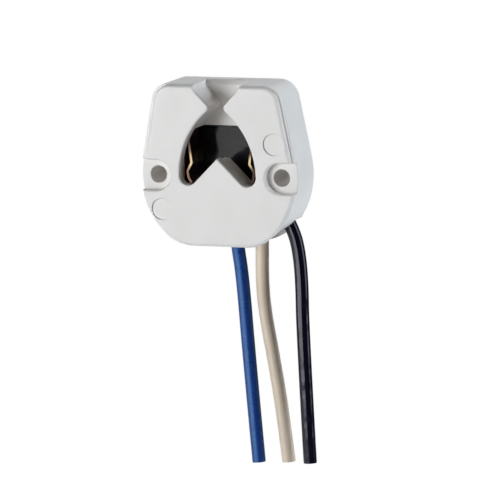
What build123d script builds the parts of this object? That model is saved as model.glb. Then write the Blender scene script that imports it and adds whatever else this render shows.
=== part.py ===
from build123d import *
import os
from math import asin, cos, degrees, radians, sin, sqrt, tan

# A lampholder for one end of a two-pin fluorescent tube, with three leads.
# X is to the right, Y goes back from the seats of the screws and Z is up. The origin is on the tube's
# axis, midway between the two screw holes, in the plane of their seats.
# All sizes are in millimetres.

# Lamp pins
pin_spacing = 12.7
pin_diameter = 2.35
seat_clearance = 0.675
seat_outset = 0.1

# Raised front face
face_radius = 16.35
face_top = 18.7
side_lean = 11
top_corner_radius = 3.5
face_height = 1.7
face_edge_radius = 0.8

# Body: it stands out from the face as a ledge at both sides, and is level with it below the screws
ledge_width = 0.65
ledge_rise = 0.7
top_step = 0.1
top_slope = 0.3
body_bottom = 14.5
bottom_corner_radius = 9.0
body_depth = 9.5
front_wall = 2.0
side_wall = 2.0
rear_edge = 0.3

# Entry for the pins: a funnel, a neck, an arch and a wedge between the two seats
funnel_width = 10.1
funnel_angle = 44.3
funnel_corner_radius = 2.0
neck_width = 2.32
lip_radius = 1.0
arch_radius = 17.5
wedge_angle = 45
wedge_tip_radius = 0.3
wedge_depth = 6.0
wedge_step = 0.15
wedge_blunt = 0.65
slot_depth = 7.5
slot_back_drop = 1.05
slot_back_slope = 0.75
entry_edge_radius = 0.4

# Chamber behind the entry
chamber_top = 9.6
chamber_floor = 3.2
contact_pocket = 2.1

# Screw holes and the recesses around them
screw_inset = 2.85
screw_hole_diameter = 3.6
recess_width = 6.3
recess_edge = 0.3
boss_wall = 2.0

# Round moulding marks on the face
mark_diameter = 4.4
mark_depth = 0.2
mark_inset = 3.95
mark_up = 7.0

# Rear cover and the posts that hold it
cover_thickness = 1.4
cover_inset = 0.65
cover_clearance = 0.05
cover_edge = 0.25
tab_inset = 0.2
tab_clearance = 0.1
post_diameter = 2.2
post_clearance = 0.1
post_head_diameter = 3.4
post_head_height = 0.5
post_sink = 0.8
post_boss_wall = 1.1
top_post_across = 8.6
top_post_up = 13.2
low_post_across = 7.0
low_post_down = 10.0

# Insulating sheet
sheet_thickness = 0.5
sheet_margin = 1.2
sheet_clearance = 0.1
sheet_corner_radius = 1.0

# Contacts: across is measured outward from the pin's middle, up and down from its height
strip_thickness = 0.5
fold_radius = 0.5
fold_flat = 0.15
contact_top = 8.3
kink_across = 0.0
kink_up = 2.5
grip_across = 0.95
grip_up = 0.75
grip_lean = 0.2
grip_down = 0.6
tip_across = 0.1
tip_down = 1.65
tail_width = 2.0
tail_slit = 0.2
tail_drop = 2.6
crimp_length = 3.0
crimp_wall = 0.5
crimp_gap = 0.2

# Leads: insulation, conductor and exits
lead_diameter = 2.8
conductor_diameter = 1.2
conductor_clearance = 0.03
lead_inset = 3.7
lead_clearance = 0.1
clamp_clearance = 0.05
inner_run = 4.0
exit_length = 7.0
exit_stand = 0.5
blue_across = 1.1
blue_lean = 1.5
white_across = 6.62
white_lean = 0.3
black_exit_angle = -39.5
black_lean = 29.5
exit_flat_angle = -51.5
exit_flat_inset = 0.6
exit_recess_inset = 1.4
exit_recess_start = 1.6
exit_recess_width = 6.4

# Points that each lead's middle line turns at, from its exit to its cut end
blue_hang = [
    (1.0, -0.05, -6.5),
    (2.3, -0.65, -24.5),
    (4.15, -1.5, -45.3),
]
white_hang = [
    (-0.24, 0.1, -6.5),
    (-0.05, 0.3, -13.0),
    (1.35, 0.6, -22.0),
    (3.05, 1.1, -34.0),
    (4.13, 1.4, -45.5),
]
black_hang = [
    (1.37, 0.0, -4.1),
    (2.02, -0.05, -11.1),
    (2.0, -0.25, -22.0),
    (3.12, -0.7, -49.3),
]

# How near an edge or corner lies to the place it is picked by
picking = 0.01

# Depths along Y
face_front = -face_height
ledge_front = -ledge_rise
lead_depth = body_depth - lead_inset
wall_back = front_wall - face_height
wedge_back = wedge_depth - face_height
slot_back = slot_depth - face_height
cover_front = body_depth - cover_thickness
sheet_front = cover_front - sheet_thickness
exit_front = lead_depth - lead_diameter / 2 - lead_clearance
tail_front = lead_depth - tail_width / 2
tail_back = lead_depth + tail_width / 2

# Corners of the pins' entry, right half
pin_across = pin_spacing / 2
seat_radius = pin_diameter / 2 + seat_clearance
seat_across = pin_across + seat_outset
entry_across = seat_across + seat_radius
arch_middle = entry_across - arch_radius
wedge_slope = radians(wedge_angle)
wedge_top = (seat_across * sin(wedge_slope) - seat_radius) / cos(wedge_slope)
seat_start = (seat_across - seat_radius * sin(wedge_slope), -seat_radius * cos(wedge_slope))
neck_up = sqrt(arch_radius**2 - (neck_width / 2 - arch_middle) ** 2)
body_top = face_top + top_step
rear_top = body_top + top_slope
cut_top = rear_top + ledge_width
funnel_across = funnel_width / 2
funnel_up = neck_up + (funnel_across - neck_width / 2) / tan(radians(funnel_angle))

chamber_across = pin_across + contact_pocket
leg_across = chamber_across - strip_thickness / 2
screw_across = face_radius - screw_inset
mark_across = face_radius - mark_inset
post_places = [
    (-top_post_across, top_post_up),
    (top_post_across, top_post_up),
    (-low_post_across, -low_post_down),
]
body_radius = face_radius + ledge_width


def lead_route(across, down, lean, hang):
    """The lead's middle line: its inner end, its exit and the points that hang from the exit."""
    inner = (-inner_run * sin(radians(lean)), 0, inner_run * cos(radians(lean)))
    return [(across + x, lead_depth + y, z - down) for x, y, z in [inner, (0, 0, 0)] + hang]


black_across = body_radius * cos(radians(black_exit_angle))
black_down = -body_radius * sin(radians(black_exit_angle))
blue_route = lead_route(blue_across, body_bottom + exit_stand, blue_lean, blue_hang)
white_route = lead_route(white_across, body_bottom + exit_stand, white_lean, white_hang)
black_route = lead_route(black_across, black_down, black_lean, black_hang)


def at_depth(depth):
    """The plane across the object at this depth, with its local axes along X and Z."""
    return Plane.XZ.offset(-depth)


def run_in(route):
    """Angle in degrees, seen from the front, that turns Z onto the lead's first run."""
    start = Vector(*route[0])
    turn = Vector(*route[1]) - start
    return degrees(asin(turn.X / turn.length))


def exit_place(route):
    """Where the lead crosses the body's wall, in the front view."""
    return (route[1][0], route[1][2])


def inward(route):
    """Unit vector from the lead's inner end on towards its crimp."""
    return (Vector(*route[0]) - Vector(*route[1])).normalized()


def round_outline(radius, top, top_corner):
    """A circle with leaning sides, a flat top, a flat bottom and rounded corners."""
    lean = radians(side_lean)
    side_start = (radius * cos(lean), radius * sin(lean))
    side_end = (side_start[0] - (top - side_start[1]) * tan(lean), top)
    bottom_corner = (sqrt(radius**2 - body_bottom**2), -body_bottom)
    bottom_angle = degrees(asin(body_bottom / radius))
    with BuildSketch() as outline:
        with BuildLine():
            CenterArc((0, 0), radius, -bottom_angle, bottom_angle + side_lean)
            Line(side_start, side_end)
            mirror(about=Plane.YZ)
            Line((-side_end[0], side_end[1]), side_end)
            Line((-bottom_corner[0], bottom_corner[1]), bottom_corner)
        make_face()
        fillet(outline.vertices().group_by(Axis.Y)[-1], top_corner)
        fillet(outline.vertices().group_by(Axis.Y)[0], bottom_corner_radius)
    return outline


# Outlines of the body and of the raised face, which is level with the body in its lower half
body_outline = round_outline(body_radius, rear_top, top_corner_radius + ledge_width)
upper_face_outline = round_outline(face_radius, face_top, top_corner_radius)
with BuildSketch() as face_outline:
    add(body_outline.sketch_local)
    Rectangle(4 * body_radius, 2 * body_radius, align=(Align.CENTER, Align.MAX), mode=Mode.INTERSECT)
    add(upper_face_outline.sketch_local)

# Outline of the pins' entry
arch_angle = degrees(asin(neck_up / arch_radius))
with BuildSketch() as entry_outline:
    with BuildLine():
        Line((0, wedge_top), seat_start)
        CenterArc((seat_across, 0), seat_radius, 270 - wedge_angle, 90 + wedge_angle)
        CenterArc((arch_middle, 0), arch_radius, 0, arch_angle)
        Line((neck_width / 2, neck_up), (funnel_across, funnel_up))
        Line((funnel_across, funnel_up), (funnel_across, cut_top))
        mirror(about=Plane.YZ)
        Line((-funnel_across, cut_top), (funnel_across, cut_top))
    make_face()
    corners = entry_outline.vertices().filter_by_position(Axis.Y, funnel_up - picking, funnel_up + picking)
    fillet(corners, funnel_corner_radius)
    lips = entry_outline.vertices().filter_by_position(Axis.Y, neck_up - picking, neck_up + picking)
    fillet(lips, lip_radius)
    tip = entry_outline.vertices().filter_by_position(Axis.X, -picking, picking)
    fillet(tip, wedge_tip_radius)

# Outline of the pin chamber, and of the wedge that stands in its front part
with BuildSketch() as chamber_outline:
    with Locations((0, -chamber_floor)):
        Rectangle(2 * chamber_across, chamber_top + chamber_floor, align=(Align.CENTER, Align.MIN))
inner_top = wedge_top - wedge_blunt
blunt_across = (wedge_blunt - wedge_step) / tan(wedge_slope)
wedge_foot = (wedge_top - wedge_step + chamber_floor) / tan(wedge_slope)
with BuildSketch() as wedge_outline:
    Polygon(
        (-blunt_across, inner_top),
        (-wedge_foot, -chamber_floor),
        (wedge_foot, -chamber_floor),
        (blunt_across, inner_top),
        align=None,
    )

# Outline of the rear cover, and of its tab that closes the recess between two leads
with BuildSketch() as cover_outline:
    add(body_outline.sketch_local)
    offset(amount=-cover_inset, mode=Mode.REPLACE)
with BuildSketch() as tab_outline:
    add(body_outline.sketch_local)
    offset(amount=-tab_inset, mode=Mode.REPLACE)
    with Locations(Location((0, 0, 0), (0, 0, exit_flat_angle))):
        with Locations((body_radius - exit_recess_inset, 0)):
            Rectangle(
                body_radius,
                exit_recess_width - 2 * tab_clearance,
                align=(Align.MIN, Align.CENTER),
                mode=Mode.INTERSECT,
            )

# Outline of the lead chamber: the body's outline less its wall, below the pin chamber
with BuildSketch() as lead_chamber_outline:
    add(body_outline.sketch_local)
    offset(amount=-side_wall, mode=Mode.REPLACE)
    with Locations((0, -chamber_floor)):
        Rectangle(4 * face_radius, 4 * face_radius, align=(Align.CENTER, Align.MAX), mode=Mode.INTERSECT)
    with Locations((-screw_across, 0), (screw_across, 0)):
        Circle(screw_hole_diameter / 2 + boss_wall, mode=Mode.SUBTRACT)

# Front housing: the white moulding that carries everything else
with BuildPart() as front_housing:
    with BuildSketch(at_depth(ledge_front)):
        add(body_outline.sketch_local)
    extrude(amount=ledge_front - body_depth)
    chamfer(front_housing.faces().sort_by(Axis.Y)[-1].edges(), rear_edge)
    with BuildSketch(Plane.YZ):
        Polygon(
            (ledge_front, body_top),
            (body_depth, rear_top),
            (body_depth, cut_top),
            (ledge_front, cut_top),
            align=None,
        )
    extrude(amount=body_radius, both=True, mode=Mode.SUBTRACT)
    with BuildSketch(at_depth(ledge_front)):
        add(face_outline.sketch_local)
    extrude(amount=face_height - ledge_rise)

    # Recesses for the screws, open to the sides, the face's rounded edge above and below them, and the
    # flat beside the black lead
    with BuildSketch(at_depth(face_front)) as recesses:
        with Locations((screw_across, 0)):
            Circle(recess_width / 2)
            Rectangle(face_radius, recess_width, align=(Align.MIN, Align.CENTER))
        mirror(about=Plane.YZ)
    extrude(amount=-face_height, mode=Mode.SUBTRACT)
    outer_edges = front_housing.faces().sort_by(Axis.Y)[0].edges().filter_by(
        lambda edge: abs(edge.center().Z) > recess_width / 2 + picking
    )
    fillet(outer_edges, face_edge_radius)
    with BuildSketch(at_depth(face_front)):
        with Locations(Location((0, 0, 0), (0, 0, exit_flat_angle))):
            with Locations((body_radius - exit_flat_inset, 0)):
                Rectangle(body_radius, 2 * body_radius, align=(Align.MIN, Align.CENTER))
    extrude(amount=face_front - body_depth, mode=Mode.SUBTRACT)
    with BuildSketch(at_depth(face_front)):
        add(recesses.sketch_local)
        offset(amount=recess_edge, mode=Mode.REPLACE)
    extrude(amount=-recess_edge, taper=45, mode=Mode.SUBTRACT)
    with BuildSketch(at_depth(face_front)):
        with Locations((-screw_across, 0), (screw_across, 0)):
            Circle(screw_hole_diameter / 2)
    extrude(amount=-(face_height + body_depth), mode=Mode.SUBTRACT)

    # Entry through the front wall, with its front edge rounded, and the blind slot above the chamber
    with BuildSketch(at_depth(face_front)):
        add(entry_outline.sketch_local)
    extrude(amount=-front_wall, mode=Mode.SUBTRACT)
    front_edges = front_housing.faces().sort_by(Axis.Y)[0].edges()
    rim_top = face_top - face_edge_radius - picking
    entry_rim = front_edges.filter_by(
        lambda edge: abs(edge.center().X) < entry_across and -chamber_floor < edge.center().Z < rim_top
    )
    fillet(entry_rim, entry_edge_radius)
    with BuildSketch(at_depth(face_front)):
        add(entry_outline.sketch_local)
        with Locations((0, chamber_top)):
            Rectangle(4 * face_radius, 2 * face_top, align=(Align.CENTER, Align.MIN), mode=Mode.INTERSECT)
    extrude(amount=-slot_depth, mode=Mode.SUBTRACT)
    with BuildSketch(Plane.YZ):
        Polygon(
            (slot_back, rear_top - slot_back_drop),
            (slot_back + slot_back_slope, rear_top),
            (slot_back, rear_top),
            align=None,
        )
    extrude(amount=funnel_across, both=True, mode=Mode.SUBTRACT)

    # Pin chamber, with the wedge standing in its front part
    with BuildSketch(at_depth(wall_back)):
        add(chamber_outline.sketch_local)
        add(wedge_outline.sketch_local, mode=Mode.SUBTRACT)
    extrude(amount=wall_back - wedge_back, mode=Mode.SUBTRACT)
    with BuildSketch(at_depth(wedge_back)):
        add(chamber_outline.sketch_local)
    extrude(amount=wedge_back - cover_front, mode=Mode.SUBTRACT)

    # Lead chamber, and the seats of the insulating sheet and the rear cover
    with BuildSketch(at_depth(exit_front)):
        add(lead_chamber_outline.sketch_local)
    extrude(amount=exit_front - cover_front, mode=Mode.SUBTRACT)
    with BuildSketch(at_depth(sheet_front)):
        with Locations((0, (chamber_top - chamber_floor) / 2)):
            RectangleRounded(
                2 * (chamber_across + sheet_margin),
                chamber_top + chamber_floor + 2 * sheet_margin,
                sheet_corner_radius,
            )
    extrude(amount=-sheet_thickness, mode=Mode.SUBTRACT)
    with BuildSketch(at_depth(cover_front)):
        add(cover_outline.sketch_local)
        offset(amount=cover_clearance, mode=Mode.REPLACE)
    extrude(amount=-cover_thickness, mode=Mode.SUBTRACT)

    # Exits for the leads, round at the front, and the recess in the wall between two of them
    exit_width = lead_diameter + 2 * lead_clearance
    for route in (blue_route, white_route, black_route):
        with BuildSketch(Plane(Vector(*route[1]), x_dir=(0, 1, 0), z_dir=inward(route))):
            Circle(exit_width / 2)
            Rectangle(lead_inset, exit_width, align=(Align.MIN, Align.CENTER))
        extrude(amount=exit_length / 2, both=True, mode=Mode.SUBTRACT)
    with BuildSketch(at_depth(exit_recess_start)):
        with Locations(Location((0, 0, 0), (0, 0, exit_flat_angle))):
            with Locations((body_radius - exit_recess_inset, 0)):
                Rectangle(body_radius, exit_recess_width, align=(Align.MIN, Align.CENTER))
    extrude(amount=exit_recess_start - body_depth, mode=Mode.SUBTRACT)

    # Round marks left by the mould
    with BuildSketch(at_depth(face_front)):
        with Locations((mark_across, mark_up), (-mark_across, -mark_up)):
            Circle(mark_diameter / 2)
    extrude(amount=-mark_depth, mode=Mode.SUBTRACT)

    # Posts that hold the cover, with heads that are formed over it
    with BuildSketch(at_depth(exit_front)):
        with Locations(post_places[-1]):
            Circle(post_diameter / 2 + post_boss_wall)
    extrude(amount=exit_front - cover_front)
    with BuildSketch(at_depth(cover_front)):
        with Locations(*post_places):
            Circle(post_diameter / 2)
    extrude(amount=post_sink - cover_thickness)
    with BuildSketch(at_depth(body_depth - post_sink)):
        with Locations(*post_places):
            Circle(post_head_diameter / 2)
    extrude(amount=-post_head_height)
front_housing.part.label = "front_housing"

# Rear cover: a plate that closes the back, with tongues that hold the leads in their exits
with BuildPart() as rear_cover:
    with BuildSketch(at_depth(cover_front)):
        add(cover_outline.sketch_local)
    extrude(amount=-cover_thickness)
    chamfer(rear_cover.faces().sort_by(Axis.Y)[-1].edges(), cover_edge)
    with BuildSketch(at_depth(cover_front)):
        add(tab_outline.sketch_local)
    extrude(amount=cover_edge - cover_thickness)
    with BuildSketch(at_depth(cover_front)):
        with Locations((-screw_across, 0), (screw_across, 0)):
            Circle(screw_hole_diameter / 2)
        with Locations(*post_places):
            Circle(post_diameter / 2 + post_clearance)
    extrude(amount=-cover_thickness, mode=Mode.SUBTRACT)
    with BuildSketch(at_depth(body_depth - post_sink)):
        with Locations(*post_places):
            Circle(post_head_diameter / 2 + 2 * post_clearance)
    extrude(amount=-post_sink, mode=Mode.SUBTRACT)
    for route in (blue_route, white_route, black_route):
        with BuildSketch(at_depth(cover_front)):
            with Locations(Location((*exit_place(route), 0), (0, 0, run_in(route)))):
                Rectangle(lead_diameter, exit_length)
            add(cover_outline.sketch_local, mode=Mode.INTERSECT)
        extrude(amount=cover_front - lead_depth - lead_diameter / 2 - clamp_clearance)
rear_cover.part.label = "rear_cover"

# Insulating sheet between the pin chamber and the rear cover
with BuildPart() as insulating_sheet:
    with BuildSketch(at_depth(sheet_front)):
        with Locations((0, (chamber_top - chamber_floor) / 2)):
            RectangleRounded(
                2 * (chamber_across + sheet_margin - sheet_clearance),
                chamber_top + chamber_floor + 2 * (sheet_margin - sheet_clearance),
                sheet_corner_radius,
            )
    extrude(amount=-sheet_thickness)
insulating_sheet.part.label = "insulating_sheet"


def crimp_side(route, side):
    """The two ends of the line on the crimp's wall that its tail runs along."""
    along = inward(route)
    across = Vector(-side * along.Z, 0, side * along.X)
    wall = Vector(*route[0]) + across * (conductor_diameter / 2 + crimp_wall)
    far = wall + along * (crimp_gap + crimp_length)
    near = wall + along * crimp_gap
    return (far.X, far.Z), (near.X, near.Z)


def folded_contact(side, tails):
    """A folded brass strip on one side, with a crimp for each lead in tails.

    Its outer leg stands against the chamber's wall, and its inner leg springs in over the lamp pin.
    """
    spring = [
        (side * leg_across, -chamber_floor),
        (side * leg_across, contact_top),
        (side * (leg_across - 2 * fold_radius - fold_flat), contact_top),
        (side * (pin_across + kink_across), kink_up),
        (side * (pin_across + grip_across), grip_up),
        (side * (pin_across + grip_across - grip_lean), -grip_down),
        (side * (pin_across + tip_across), -tip_down),
    ]
    strips = [(spring, wall_back, tail_back)]
    strips += [([(side * leg_across, 0)] + line, front, back) for _, line, front, back in tails]
    with BuildPart() as contact:
        for points, front, back in strips:
            with BuildSketch(at_depth(front)):
                with BuildLine():
                    FilletPolyline(*points, radius=fold_radius)
                trace(line_width=strip_thickness)
            extrude(amount=front - back)
        for route, _, _, _ in tails:
            start = Vector(*route[0]) + inward(route) * crimp_gap
            with BuildSketch(Plane(start, z_dir=inward(route))):
                Circle(conductor_diameter / 2 + crimp_wall)
            extrude(amount=crimp_length)
        for route, _, _, _ in tails:
            with BuildSketch(Plane(Vector(*route[0]), z_dir=inward(route))):
                Circle(conductor_diameter / 2 + conductor_clearance)
            extrude(amount=2 * crimp_length, mode=Mode.SUBTRACT)
    return contact


blue_far, blue_near = crimp_side(blue_route, 1)
tail_level = -chamber_floor - tail_drop
blue_tail = [(-leg_across, tail_level), (blue_far[0], tail_level), blue_near]
left_contact = folded_contact(-1, [(blue_route, blue_tail, tail_front, tail_back)])
left_contact.part.label = "left_contact"

white_far, white_near = crimp_side(white_route, -1)
black_far, black_near = crimp_side(black_route, 1)
crimp_slope = (black_far[1] - black_near[1]) / (black_far[0] - black_near[0])
white_tail = [(leg_across, tail_level), white_far, white_near]
black_tail = [(leg_across, black_far[1] + crimp_slope * (leg_across - black_far[0])), black_near]
right_contact = folded_contact(
    1,
    [
        (white_route, white_tail, tail_front, lead_depth - tail_slit / 2),
        (black_route, black_tail, lead_depth + tail_slit / 2, tail_back),
    ],
)
right_contact.part.label = "right_contact"


def corner_radii(route):
    """The largest arc that each corner of the route has room for."""
    points = [Vector(*point) for point in route]
    radii = []
    for before, corner, after in zip(points, points[1:], points[2:]):
        turn = (corner - before).get_angle(after - corner)
        shorter = min((corner - before).length, (after - corner).length)
        radii.append(0.45 * shorter / tan(radians(turn / 2)))
    return radii


def insulated_lead(route):
    """The lead's insulation, a tube of its full diameter along the route."""
    with BuildPart() as lead:
        with BuildLine() as middle:
            FilletPolyline(*route, radius=corner_radii(route))
        with BuildSketch(Plane(middle.line @ 0, z_dir=middle.line % 0)):
            Circle(lead_diameter / 2)
        sweep()
    return lead


def stripped_conductor(route):
    """The bare copper end that the crimp holds."""
    with BuildPart() as conductor:
        with BuildSketch(Plane(Vector(*route[0]), z_dir=inward(route))):
            Circle(conductor_diameter / 2)
        extrude(amount=crimp_gap + crimp_length)
    return conductor


os.makedirs("parts", exist_ok=True)
pieces = [front_housing, rear_cover, insulating_sheet, left_contact, right_contact]
for colour, route in (("blue", blue_route), ("white", white_route), ("black", black_route)):
    lead = insulated_lead(route)
    lead.part.label = colour + "_lead"
    conductor = stripped_conductor(route)
    conductor.part.label = colour + "_conductor"
    pieces += [lead, conductor]
    print(lead.part.label, "bend radii", [round(radius, 1) for radius in corner_radii(route)])

for piece in pieces:
    export_step(piece.part, "parts/" + piece.part.label + ".step")
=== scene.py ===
from math import pi, radians
import bmesh
import bpy
from mathutils import Matrix, Quaternion, Vector


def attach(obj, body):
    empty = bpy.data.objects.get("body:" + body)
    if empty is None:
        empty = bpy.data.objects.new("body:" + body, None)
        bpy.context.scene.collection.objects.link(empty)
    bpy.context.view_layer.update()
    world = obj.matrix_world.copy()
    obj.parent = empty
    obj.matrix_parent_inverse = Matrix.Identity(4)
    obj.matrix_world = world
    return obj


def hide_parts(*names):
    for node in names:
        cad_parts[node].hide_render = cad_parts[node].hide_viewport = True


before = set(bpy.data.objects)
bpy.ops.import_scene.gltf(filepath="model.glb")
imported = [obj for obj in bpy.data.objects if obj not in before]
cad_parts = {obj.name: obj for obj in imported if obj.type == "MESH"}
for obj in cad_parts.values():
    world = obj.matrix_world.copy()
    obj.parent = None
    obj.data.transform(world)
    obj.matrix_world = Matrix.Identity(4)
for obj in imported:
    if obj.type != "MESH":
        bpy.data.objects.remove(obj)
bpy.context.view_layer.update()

# Front housing. One white moulding with the raised face, the funnel for the pins, two screw recesses
# and the lead exits. It is injection moulded with a fine satin skin, and its edges are slightly soft.
MM = 0.001
NOISE_LOW = 0.3
NOISE_HIGH = 0.7
MIX_FACTOR = 0
MIX_FIRST = 6
MIX_SECOND = 7
MIX_RESULT = 2
EDGE_SAMPLES = 6
JOINING_DISTANCE = 0.0001 * MM
SHARP_ANGLE = radians(25)


def shader_node(tree, kind, inputs=None, **settings):
    """A new node with its settings, and with its inputs set to values or joined to other sockets."""
    made = tree.nodes.new(kind)
    for name, value in settings.items():
        setattr(made, name, value)
    for name, value in (inputs or {}).items():
        if isinstance(value, bpy.types.NodeSocket):
            tree.links.new(value, made.inputs[name])
        else:
            made.inputs[name].default_value = value
    return made


def new_finish(name):
    """A material, its node tree, its main shader and the piece's own coordinates."""
    finish = bpy.data.materials.new(name)
    finish.use_nodes = True
    tree = finish.node_tree
    place = shader_node(tree, "ShaderNodeTexCoord").outputs["Object"]
    return finish, tree, tree.nodes["Principled BSDF"], place


def mottle(tree, place, scale, low=0, high=1, detail=3.0):
    """A soft random pattern of the given scale, spread from low to high."""
    noise = shader_node(tree, "ShaderNodeTexNoise", {"Vector": place, "Scale": scale, "Detail": detail})
    spread = {
        "Value": noise.outputs["Fac"],
        "From Min": NOISE_LOW,
        "From Max": NOISE_HIGH,
        "To Min": low,
        "To Max": high,
    }
    return shader_node(tree, "ShaderNodeMapRange", spread).outputs["Result"]


def blend_colours(tree, factor, first, second):
    """A colour that goes from the first to the second, values or sockets, with the factor."""
    low, high = [c if isinstance(c, bpy.types.NodeSocket) else (*c, 1) for c in (first, second)]
    ends = {MIX_FACTOR: factor, MIX_FIRST: low, MIX_SECOND: high}
    return shader_node(tree, "ShaderNodeMix", ends, data_type="RGBA").outputs[MIX_RESULT]


def soft_edge(tree, radius):
    """A surface normal that is rounded at the edges, by the given radius in metres."""
    bevel = shader_node(tree, "ShaderNodeBevel", {"Radius": radius}, samples=EDGE_SAMPLES)
    return bevel.outputs["Normal"]


def relief(tree, height, depth, normal=None):
    """A fine relief of the given depth in metres, over a surface normal where there is one."""
    bump = shader_node(tree, "ShaderNodeBump", {"Height": height, "Distance": depth})
    if normal is not None:
        tree.links.new(normal, bump.inputs["Normal"])
    return bump.outputs["Normal"]


def give_surface(tree, skin, colour, roughness, normal):
    """Joins a colour, a roughness and a relief to the main shader."""
    tree.links.new(colour, skin.inputs["Base Color"])
    tree.links.new(roughness, skin.inputs["Roughness"])
    tree.links.new(normal, skin.inputs["Normal"])


def moulded_white():
    """White thermoplastic with a fine satin skin, and faint clouding from the flow in the mould."""
    finish, tree, skin, place = new_finish("moulded_white")
    cloud = mottle(tree, place, scale=140)
    grain = mottle(tree, place, scale=5200)
    give_surface(
        tree,
        skin,
        colour=blend_colours(tree, cloud, (0.775, 0.733, 0.690), (0.811, 0.769, 0.726)),
        roughness=mottle(tree, place, scale=900, low=0.36, high=0.5),
        normal=relief(tree, grain, depth=0.006 * MM, normal=soft_edge(tree, radius=0.28 * MM)),
    )
    skin.inputs["IOR"].default_value = 1.5
    return finish


def smooth_by_angle(limit):
    """A live modifier's nodes that join the loose triangles and shade them smooth up to the angle."""
    tree = bpy.data.node_groups.new("smooth_by_angle", "GeometryNodeTree")
    tree.interface.new_socket("Geometry", in_out="INPUT", socket_type="NodeSocketGeometry")
    tree.interface.new_socket("Geometry", in_out="OUTPUT", socket_type="NodeSocketGeometry")
    start = tree.nodes.new("NodeGroupInput")
    joined = shader_node(
        tree,
        "GeometryNodeMergeByDistance",
        {"Geometry": start.outputs[0], "Distance": JOINING_DISTANCE},
    )
    angle = shader_node(tree, "GeometryNodeInputMeshEdgeAngle")
    steep = shader_node(
        tree,
        "FunctionNodeCompare",
        {"A": angle.outputs[0], "B": limit},
        operation="GREATER_THAN",
    )
    smooth = shader_node(
        tree,
        "GeometryNodeSetShadeSmooth",
        {"Geometry": joined.outputs[0], "Shade Smooth": True},
        domain="FACE",
    )
    sharp = shader_node(
        tree,
        "GeometryNodeSetShadeSmooth",
        {"Geometry": smooth.outputs[0], "Selection": steep.outputs[0], "Shade Smooth": False},
        domain="EDGE",
    )
    end = tree.nodes.new("NodeGroupOutput")
    tree.links.new(sharp.outputs[0], end.inputs[0])
    return tree


smoothing = smooth_by_angle(SHARP_ANGLE)


def dress(node, finish):
    """Gives a solid its finish, and smooth shading on its round faces."""
    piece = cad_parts[node]
    piece.data.materials.clear()
    piece.data.materials.append(finish)
    piece.modifiers.new("smooth", "NODES").node_group = smoothing
    flats = piece.modifiers.new("flats", "WEIGHTED_NORMAL")
    flats.mode = "FACE_AREA"
    flats.keep_sharp = True


white_finish = moulded_white()
dress("front_housing", white_finish)


# Rear cover. A flat white plate of the same plastic that closes the back and holds the leads down in
# their exits. It drops over three posts, whose ends are formed into heads.
dress("rear_cover", white_finish)


# Insulating sheet. A glossy black sheet cut to a rounded rectangle, which lies in a seat behind the pin
# chamber. It has the faint ripple of rolled sheet.
def rolled_black():
    """Black glossy sheet with a faint ripple and a little dust in its gloss."""
    finish, tree, skin, place = new_finish("rolled_black")
    tint = mottle(tree, place, scale=300)
    ripple = mottle(tree, place, scale=160)
    give_surface(
        tree,
        skin,
        colour=blend_colours(tree, tint, (0.009, 0.009, 0.011), (0.016, 0.016, 0.018)),
        roughness=mottle(tree, place, scale=1500, low=0.06, high=0.16),
        normal=relief(tree, ripple, depth=0.01 * MM),
    )
    skin.inputs["Specular IOR Level"].default_value = 0.14
    return finish


dress("insulating_sheet", rolled_black())


# Contacts. Two folded strips of spring brass that stand against the chamber's walls and spring in over
# the lamp's pins. They are stamped from rolled strip, and their tails end in crimps. Their colour holds
# painted light in a band around the kink, and painted shade in dark brown above and below it.
# Painted light: how far the edges of the lit band fade out, in metres of height.
LIT_BAND_FADE = 1.4 * MM


def calculate(tree, operation, *values):
    """The result of a sum, whose values are numbers or sockets."""
    return shader_node(tree, "ShaderNodeMath", dict(enumerate(values)), operation=operation).outputs[0]


def fade(tree, height, shaded, lit):
    """A soft step along the height, from nothing at the shaded end to full at the lit end."""
    ends = {"Value": height, "From Min": shaded, "From Max": lit}
    step = shader_node(tree, "ShaderNodeMapRange", ends, interpolation_type="SMOOTHSTEP")
    return step.outputs["Result"]


def rolled_brass(name, lit_from, lit_to, darker_shade, lighter_shade):
    """Rolled brass with fine lines along the strip, with painted light in a band of heights and painted
    shade elsewhere.
    """
    finish, tree, skin, place = new_finish(name)
    height = shader_node(tree, "ShaderNodeSeparateXYZ", {"Vector": place}).outputs["Z"]
    # Painted light: a brighter band between the two heights, which fades out above and below them.
    lower_end = fade(tree, height, lit_from - LIT_BAND_FADE, lit_from)
    upper_end = fade(tree, height, lit_to + LIT_BAND_FADE, lit_to)
    lit_band = calculate(tree, "MULTIPLY", lower_end, upper_end)
    tarnish = mottle(tree, place, scale=420)
    # Painted shade: the dark brown outside the lit band, with random tone between its two colours.
    shaded = blend_colours(tree, tarnish, darker_shade, lighter_shade)
    lit = blend_colours(tree, tarnish, (0.25, 0.195, 0.112), (0.33, 0.265, 0.16))
    stretched = shader_node(tree, "ShaderNodeMapping", {"Vector": place, "Scale": (1, 12, 1)})
    along = stretched.outputs["Vector"]
    lines = mottle(tree, along, scale=900)
    give_surface(
        tree,
        skin,
        colour=blend_colours(tree, lit_band, shaded, lit),
        roughness=mottle(tree, along, scale=700, low=0.3, high=0.42),
        normal=relief(tree, lines, depth=0.003 * MM, normal=soft_edge(tree, radius=0.08 * MM)),
    )
    skin.inputs["Metallic"].default_value = 1.0
    return finish


# The left contact has painted light from 2.4 to 3.9 mm of height, and painted shade above and below.
left_brass = rolled_brass(
    "left_brass",
    lit_from=2.4 * MM,
    lit_to=3.9 * MM,
    darker_shade=(0.095, 0.06, 0.041),
    lighter_shade=(0.15, 0.098, 0.07),
)
dress("left_contact", left_brass)
# The right contact has a narrower band of painted light and a much darker painted shade, as it lies in
# shade behind the wedge.
right_brass = rolled_brass(
    "right_brass",
    lit_from=2.6 * MM,
    lit_to=3.3 * MM,
    darker_shade=(0.02, 0.013, 0.01),
    lighter_shade=(0.048, 0.032, 0.022),
)
dress("right_contact", right_brass)


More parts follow.
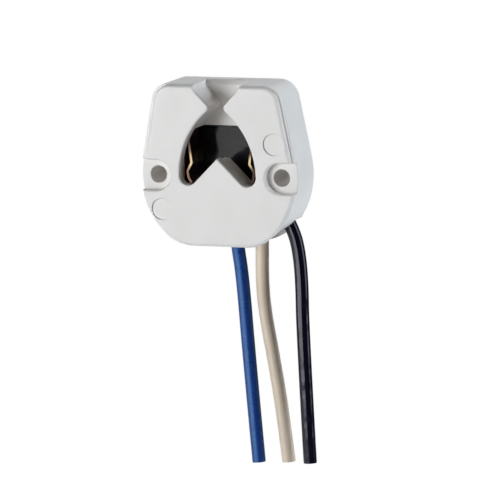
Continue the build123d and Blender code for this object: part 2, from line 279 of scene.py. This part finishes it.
# Leads. Stranded copper in coloured plastic insulation, cut square at the far end. The inner end of each
# is stripped, crimped into a contact and held in its exit by the rear cover.
LEAD_DIAMETER = 2.8 * MM
CONDUCTOR_DIAMETER = 1.2 * MM
STRANDS_AROUND = 6
STRAND_DIAMETER = CONDUCTOR_DIAMETER / 3
STRAND_SIDES = 14
STRAND_PROUD = 0.05 * MM
STRAND_SUNK = 0.5 * MM


def drawn_copper():
    """Bare drawn copper, a little dulled."""
    finish, tree, skin, place = new_finish("drawn_copper")
    dulling = mottle(tree, place, scale=1800)
    drawing_marks = mottle(tree, place, scale=6000)
    give_surface(
        tree,
        skin,
        colour=blend_colours(tree, dulling, (0.62, 0.27, 0.14), (0.85, 0.47, 0.30)),
        roughness=mottle(tree, place, scale=2500, low=0.25, high=0.45),
        normal=relief(tree, drawing_marks, depth=0.004 * MM),
    )
    skin.inputs["Metallic"].default_value = 1.0
    return finish


def insulation(name, dark, light, low_gloss, high_gloss, sheen=(1, 1, 1)):
    """Extruded insulation: streaks along the lead, and a skin with a sheen that is a little uneven."""
    finish, tree, skin, place = new_finish(name)
    along = shader_node(tree, "ShaderNodeMapping", {"Vector": place, "Scale": (1, 1, 0.06)})
    streaks = mottle(tree, along.outputs["Vector"], scale=1600)
    ripple = relief(tree, mottle(tree, place, scale=300, detail=1.0), depth=0.02 * MM)
    give_surface(
        tree,
        skin,
        colour=blend_colours(tree, streaks, dark, light),
        roughness=mottle(tree, place, scale=500, low=low_gloss, high=high_gloss),
        normal=relief(tree, streaks, depth=0.004 * MM, normal=ripple),
    )
    skin.inputs["Specular Tint"].default_value = (*sheen, 1)
    return finish


def hanging_lead(name, route, finish):
    """A lead on one smooth line along its route, and the route's points in metres."""
    points = [Vector(point) * MM for point in route]
    curve = bpy.data.curves.new(name + "_insulation", "CURVE")
    curve.dimensions = "3D"
    spline = curve.splines.new("NURBS")
    spline.points.add(len(points) - 1)
    for control, point in zip(spline.points, points):
        control.co = (*point, 1)
    spline.order_u = 3
    spline.use_endpoint_u = True
    spline.resolution_u = 16
    curve.bevel_depth = LEAD_DIAMETER / 2
    curve.bevel_resolution = 10
    curve.use_fill_caps = True
    curve.materials.append(finish)
    lead = bpy.data.objects.new(name + "_insulation", curve)
    bpy.context.scene.collection.objects.link(lead)
    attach(lead, "root")
    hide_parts(name + "_lead")
    return lead, points


def cut_strands(name, points):
    """The seven strands that show at the cut end, standing a little proud of it."""
    outward = (points[-1] - points[-2]).normalized()
    turn = outward.to_track_quat("Z", "Y").to_matrix().to_4x4()
    mesh = bmesh.new()
    for strand in range(STRANDS_AROUND + 1):
        angle = 2 * pi * strand / STRANDS_AROUND
        reach = STRAND_DIAMETER if strand < STRANDS_AROUND else 0
        lift = (STRAND_PROUD - STRAND_SUNK) / 2
        middle = Matrix.Rotation(angle, 4, "Z") @ Matrix.Translation((reach, 0, lift))
        bmesh.ops.create_cone(
            mesh,
            cap_ends=True,
            segments=STRAND_SIDES,
            radius1=STRAND_DIAMETER / 2,
            radius2=STRAND_DIAMETER / 2,
            depth=STRAND_PROUD + STRAND_SUNK,
            matrix=Matrix.Translation(points[-1]) @ turn @ middle,
        )
    shape = bpy.data.meshes.new(name + "_strands")
    mesh.to_mesh(shape)
    mesh.free()
    shape.materials.append(copper_finish)
    strands = bpy.data.objects.new(name + "_strands", shape)
    bpy.context.scene.collection.objects.link(strands)
    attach(strands, "root")
    return strands


copper_finish = drawn_copper()
blue_route = [
    (0.995, 5.8, -11.001),
    (1.1, 5.8, -15.0),
    (2.1, 5.75, -21.5),
    (3.4, 5.15, -39.5),
    (5.25, 4.3, -60.3),
]
white_route = [
    (6.599, 5.8, -11.0),
    (6.62, 5.8, -15.0),
    (6.38, 5.9, -21.5),
    (6.57, 6.1, -28.0),
    (7.97, 6.4, -37.0),
    (9.67, 6.9, -49.0),
    (10.75, 7.2, -60.5),
]
black_route = [
    (11.148, 5.8, -7.332),
    (13.118, 5.8, -10.813),
    (14.488, 5.8, -14.913),
    (15.138, 5.75, -21.913),
    (15.118, 5.55, -32.813),
    (16.238, 5.1, -60.113),
]
blue_finish = insulation(
    "blue_insulation",
    dark=(0.006, 0.036, 0.21),
    light=(0.010, 0.046, 0.25),
    low_gloss=0.24,
    high_gloss=0.34,
    sheen=(0.55, 1.0, 0.95),
)
cream_finish = insulation(
    "cream_insulation",
    dark=(0.68, 0.555, 0.42),
    light=(0.74, 0.61, 0.47),
    low_gloss=0.3,
    high_gloss=0.42,
)
black_finish = insulation(
    "black_insulation",
    dark=(0.001, 0.001, 0.006),
    light=(0.002, 0.002, 0.009),
    low_gloss=0.08,
    high_gloss=0.12,
    sheen=(0.88, 0.88, 1.0),
)
for name, route, finish, length in (
    ("blue", blue_route, blue_finish, 49.5 * MM),
    ("white", white_route, cream_finish, 49.8 * MM),
    ("black", black_route, black_finish, 53.5 * MM),
):
    lead, points = hanging_lead(name, route, finish)
    strands = cut_strands(name, points)
    dress(name + "_conductor", copper_finish)


# Studio. A pale floor below the hanging leads, a white backdrop behind, and soft lamps from the front
# left, the right, the rear and above. Two broad panels show in the gloss alone.
FLOOR_DROP = 0.5
FLOOR_RADIUS = 2.4
FLOOR_WHITE = 0.85
BACKDROP_AZIMUTH = radians(21)
BACKDROP_DISTANCE = 1.3
BACKDROP_RADIUS = 0.8
BACKDROP_WHITE = 1.0
PANEL_SEGMENTS = 96
SKY_LIGHT = 0.02
SKY_IN_GLOSS = 0.05
LAMP_DISTANCE = 1.0
COOL_WHITE = (0.89, 0.942, 1.0)


def white_to_the_eye(name, share):
    """A pale matt finish that takes light and shadow, shown as plain white for the given share."""
    finish, tree, skin, _ = new_finish(name)
    skin.inputs["Base Color"].default_value = (0.9, 0.9, 0.9, 1)
    skin.inputs["Roughness"].default_value = 0.9
    path = shader_node(tree, "ShaderNodeLightPath").outputs
    seen = calculate(tree, "MAXIMUM", path["Is Camera Ray"], path["Is Glossy Ray"])
    seen = calculate(tree, "MAXIMUM", seen, path["Is Transmission Ray"])
    part = calculate(tree, "MULTIPLY", seen, share)
    white = shader_node(tree, "ShaderNodeEmission", {"Strength": 1.0}).outputs[0]
    shown = shader_node(tree, "ShaderNodeMixShader", {0: part, 1: skin.outputs[0], 2: white})
    tree.links.new(shown.outputs[0], tree.nodes["Material Output"].inputs["Surface"])
    return finish


def stage_panel(name, radius, matrix, finish):
    """A flat round panel of the studio."""
    panel_mesh = bmesh.new()
    bmesh.ops.create_circle(
        panel_mesh, cap_ends=True, segments=PANEL_SEGMENTS, radius=radius, matrix=matrix
    )
    shape = bpy.data.meshes.new(name)
    panel_mesh.to_mesh(shape)
    panel_mesh.free()
    shape.materials.append(finish)
    panel = bpy.data.objects.new(name, shape)
    bpy.context.scene.collection.objects.link(panel)


below = Matrix.Translation((0, 0, -FLOOR_DROP))
stage_panel("floor", FLOOR_RADIUS, below, white_to_the_eye("pale_floor", FLOOR_WHITE))
behind = Matrix.Rotation(BACKDROP_AZIMUTH, 4, "Z") @ Matrix.Translation((0, BACKDROP_DISTANCE, 0))
upright = behind @ Matrix.Rotation(pi / 2, 4, "X")
stage_panel("backdrop", BACKDROP_RADIUS, upright, white_to_the_eye("white_backdrop", BACKDROP_WHITE))


def white_surroundings():
    """A world that is plain white to the eye, dim in the gloss, and hardly lights anything."""
    surroundings = bpy.data.worlds.new("surroundings")
    surroundings.use_nodes = True
    tree = surroundings.node_tree
    path = shader_node(tree, "ShaderNodeLightPath").outputs
    gloss = calculate(tree, "MAXIMUM", path["Is Glossy Ray"], path["Is Transmission Ray"])
    dim = calculate(tree, "MULTIPLY_ADD", gloss, SKY_IN_GLOSS - SKY_LIGHT, SKY_LIGHT)
    shown = calculate(tree, "MAXIMUM", path["Is Camera Ray"], dim)
    sky = tree.nodes["Background"]
    sky.inputs["Color"].default_value = (1, 1, 1, 1)
    tree.links.new(shown, sky.inputs["Strength"])
    return surroundings


bpy.context.scene.world = white_surroundings()


def soft_lamp(name, azimuth, elevation, size, power, colour, in_gloss):
    """A lamp aimed at the lampholder, which either shows in its gloss or lights its plain surfaces."""
    lamp_data = bpy.data.lights.new(name, "AREA")
    lamp_data.shape = "RECTANGLE"
    lamp_data.size, lamp_data.size_y = size
    lamp_data.energy = power
    lamp_data.color = colour
    lamp = bpy.data.objects.new(name, lamp_data)
    turn = Matrix.Rotation(radians(azimuth), 3, "Z") @ Matrix.Rotation(radians(-elevation), 3, "X")
    back = turn @ Vector((0, -1, 0))
    lamp.location = back * LAMP_DISTANCE
    lamp.rotation_mode = "QUATERNION"
    lamp.rotation_quaternion = (-back).to_track_quat("-Z", "Y")
    lamp.visible_glossy = in_gloss
    lamp.visible_diffuse = not in_gloss
    bpy.context.scene.collection.objects.link(lamp)


for name, azimuth, elevation, size, power, colour, in_gloss in (
    ("key_lamp", -34, 0, (0.3, 0.9), 8.0, COOL_WHITE, False),
    ("side_lamp", 95, 12, (0.3, 0.4), 7.6, (0.80, 0.90, 1.0), False),
    ("rear_lamp", 175, 44, (0.7, 0.4), 4.5, COOL_WHITE, False),
    ("top_lamp", 20, 70, (0.3, 0.3), 0.45, COOL_WHITE, False),
    ("key_panel", -34, 17, (1.75, 1.15), 25.5, (1.0, 0.99, 0.985), True),
    ("side_panel", 102, 20, (0.52, 1.15), 4.5, (0.93, 0.965, 1.0), True),
):
    soft_lamp(name, azimuth, elevation, size, power, colour, in_gloss)


# Camera. A long lens a metre away looks at the lampholder from its right and a little above, and leans
# slightly, so that the leads run down the middle of the picture.
VIEW_AZIMUTH = radians(21.24)
VIEW_ELEVATION = radians(9.66)
VIEW_LEAN = radians(1.5)
VIEW_TARGET = Vector((6.80, -1.76, -14.80)) * MM
VIEW_DISTANCE = 985.7 * MM
lens = bpy.data.cameras.new("camera")
lens.sensor_width = 36
lens.lens = 347.8
lens.clip_start = 0.05
lens.clip_end = 20
camera = bpy.data.objects.new("camera", lens)
view_turn = Quaternion((0, 0, 1), VIEW_AZIMUTH) @ Quaternion((1, 0, 0), pi / 2 - VIEW_ELEVATION)
camera.rotation_mode = "QUATERNION"
camera.rotation_quaternion = view_turn @ Quaternion((0, 0, 1), -VIEW_LEAN)
camera.location = VIEW_TARGET + view_turn @ Vector((0, 0, VIEW_DISTANCE))
bpy.context.scene.collection.objects.link(camera)
bpy.context.scene.camera = camera
bpy.context.scene.view_settings.view_transform = "Standard"
